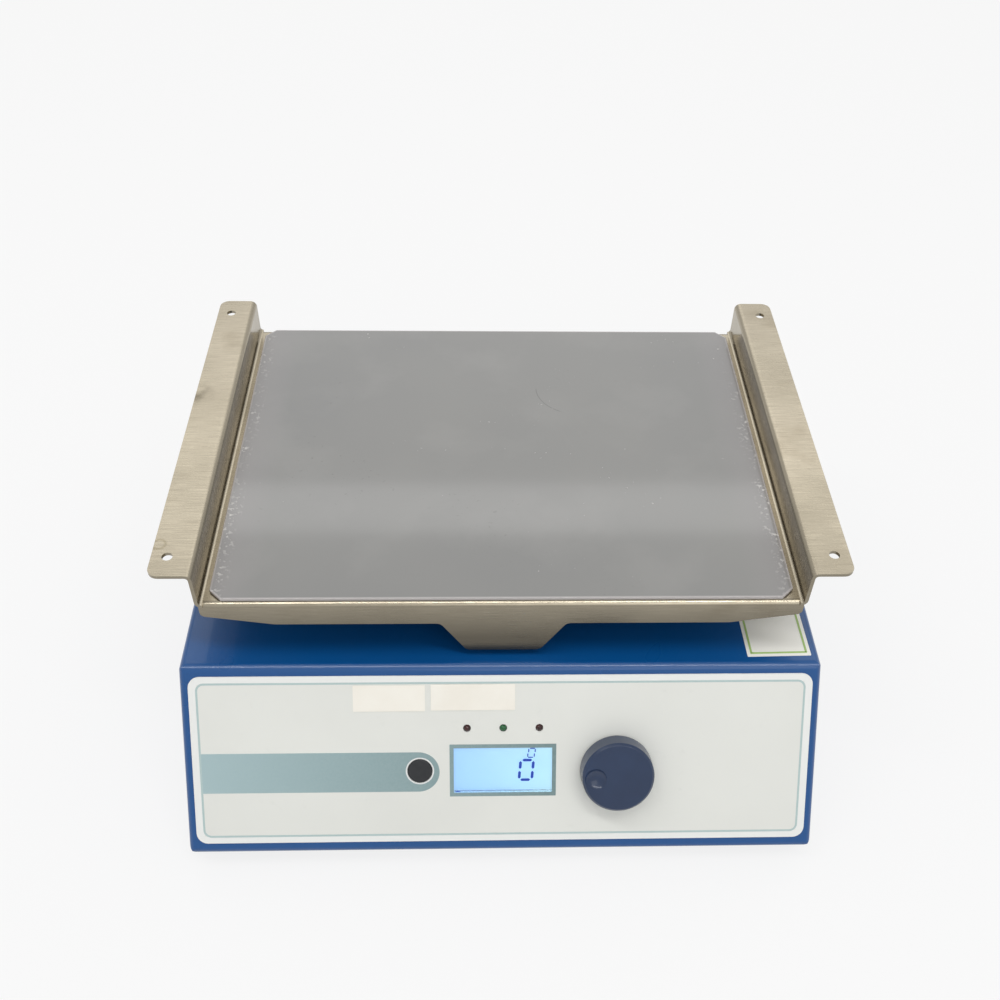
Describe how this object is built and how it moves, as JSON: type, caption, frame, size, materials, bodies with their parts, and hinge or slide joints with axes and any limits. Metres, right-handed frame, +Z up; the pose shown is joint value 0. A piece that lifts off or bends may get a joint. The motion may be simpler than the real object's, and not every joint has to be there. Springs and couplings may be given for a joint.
{
  "type": "rocking platform shaker",
  "caption": "Bench rocker with a sloping control console and a tilting steel platform with upturned flanged sides, driven by a crank and fork",
  "frame": {"origin": "middle of the bounding box at the bench, under the middle of the case", "axes": "+X to the right as seen from the console, +Y to the rear, +Z up"},
  "size_m": [0.29, 0.262, 0.1352],
  "materials": {
    "case_paint": "satin powder coat",
    "zinc_sheet": "zinc plated",
    "foot_rubber": "matte",
    "screw_steel": "plated",
    "block_aluminium": "machined",
    "black_steel": "black oxide",
    "bush_bronze": "sintered bronze",
    "gearbox_steel": "satin",
    "motor_paint": "satin black",
    "black_plastic": "fine texture",
    "overlay_film": "printed film",
    "display_clear": "clear",
    "display_lit": "back-lit",
    "lamp_red": "diffused lens",
    "lamp_green": "diffused lens",
    "circuit_board": "solder mask",
    "standoff_brass": "plain",
    "ground_steel": "ground",
    "contact_brass": "plated",
    "white_plastic": "natural nylon",
    "transformer_core": "varnished laminations",
    "heatsink_aluminium": "black anodised",
    "capacitor_sleeve": "sleeve",
    "cable_jacket": "soft jacket",
    "tray_steel": "brushed",
    "mat_rubber": "smooth translucent",
    "knob_plastic": "fine matte",
    "button_plastic": "satin"
  },
  "bodies": {
    "case": {"cover_shell": "case_paint", "base_plate": "zinc_sheet", "rear_panel": "case_paint", "rubber_feet": "foot_rubber", "foot_screws": "screw_steel", "case_screws": "screw_steel", "inner_bridge": "zinc_sheet", "inner_screws": "screw_steel", "pivot_block_front": "block_aluminium", "pivot_block_rear": "block_aluminium", "pivot_block_screws": "black_steel", "pivot_bushes": "bush_bronze", "motor_bracket": "zinc_sheet", "gearbox": "gearbox_steel", "motor": "motor_paint", "speed_sensor": "black_plastic", "front_overlay": "overlay_film", "display_window": "display_clear", "display_glass": "display_lit", "display_holder": "black_plastic", "red_lamps": "lamp_red", "green_lamp": "lamp_green", "control_board": "circuit_board", "board_standoffs": "standoff_brass", "mode_switch": "black_plastic", "encoder_body": "ground_steel", "encoder_nut": "ground_steel", "power_board": "circuit_board", "board_spacers": "white_plastic", "transformer": "transformer_core", "heatsink": "heatsink_aluminium", "capacitors": "capacitor_sleeve", "ribbon_cable": "cable_jacket", "cable_plugs": "black_plastic", "mains_inlet": "black_plastic", "inlet_pins": "contact_brass", "switch_frame": "black_plastic", "fuse_holder": "black_plastic"},
    "platform": {"platform_tray": "tray_steel", "platform_mat": "mat_rubber", "platform_screws": "screw_steel", "rocker_beam": "zinc_sheet", "pivot_shaft": "ground_steel", "thrust_washers": "white_plastic", "shaft_clips": "black_steel", "drive_fork": "block_aluminium", "fork_set_screw": "black_steel"},
    "crank": {"output_shaft": "ground_steel", "crank_disc": "block_aluminium", "speed_disc": "black_plastic", "crank_pin": "ground_steel"},
    "roller": {"crank_roller": "ground_steel"},
    "knob_plunger": {"encoder_plunger": "black_plastic"},
    "knob": {"encoder_shaft": "ground_steel", "knob": "knob_plastic"},
    "button": {"mode_button": "button_plastic"},
    "switch": {"switch_rocker": "black_plastic"},
    "fuse": {"fuse_cap": "black_plastic"}
  },
  "joints": [
    {"name": "platform_rock", "type": "hinge", "parent": "case", "child": "platform", "pos_m": [0, 0.02261, 0.0975], "axis": [0, 1, 0], "range_deg": [-10, 10]},
    {"name": "crank_turn", "type": "hinge", "parent": "case", "child": "crank", "pos_m": [0, 0.01211, 0.066], "axis": [0, 1, 0], "range_deg": [-90, 90]},
    {"name": "roller_spin", "type": "hinge", "parent": "crank", "child": "roller", "pos_m": [0, 0.00761, 0.06045], "axis": [0, 1, 0], "continuous": true},
    {"name": "knob_push", "type": "slide", "parent": "case", "child": "knob_plunger", "axis": [0, 0.829, -0.5592], "range_m": [0, 0.0005], "stiffness_N_per_m": 6000, "springref_m": -0.0003},
    {"name": "knob_turn", "type": "hinge", "parent": "knob_plunger", "child": "knob", "pos_m": [0.0505, -0.11034, 0.04404], "axis": [0, -0.829, 0.5592], "continuous": true},
    {"name": "button_press", "type": "slide", "parent": "case", "child": "button", "axis": [0, 0.829, -0.5592], "range_m": [0, 0.0004], "stiffness_N_per_m": 3000, "springref_m": -0.0003},
    {"name": "switch_throw", "type": "hinge", "parent": "case", "child": "switch", "pos_m": [-0.064, 0.12, 0.0375], "axis": [1, 0, 0], "range_deg": [-16, 0]},
    {"name": "fuse_cap_turn", "type": "hinge", "parent": "case", "child": "fuse", "pos_m": [-0.064, 0.123, 0.0615], "axis": [0, 1, 0], "range_deg": [0, 60]}
  ],
  "couplings": [
    {"joint": "crank_turn", "follows": "platform_rock", "ratio": 9}
  ]
}
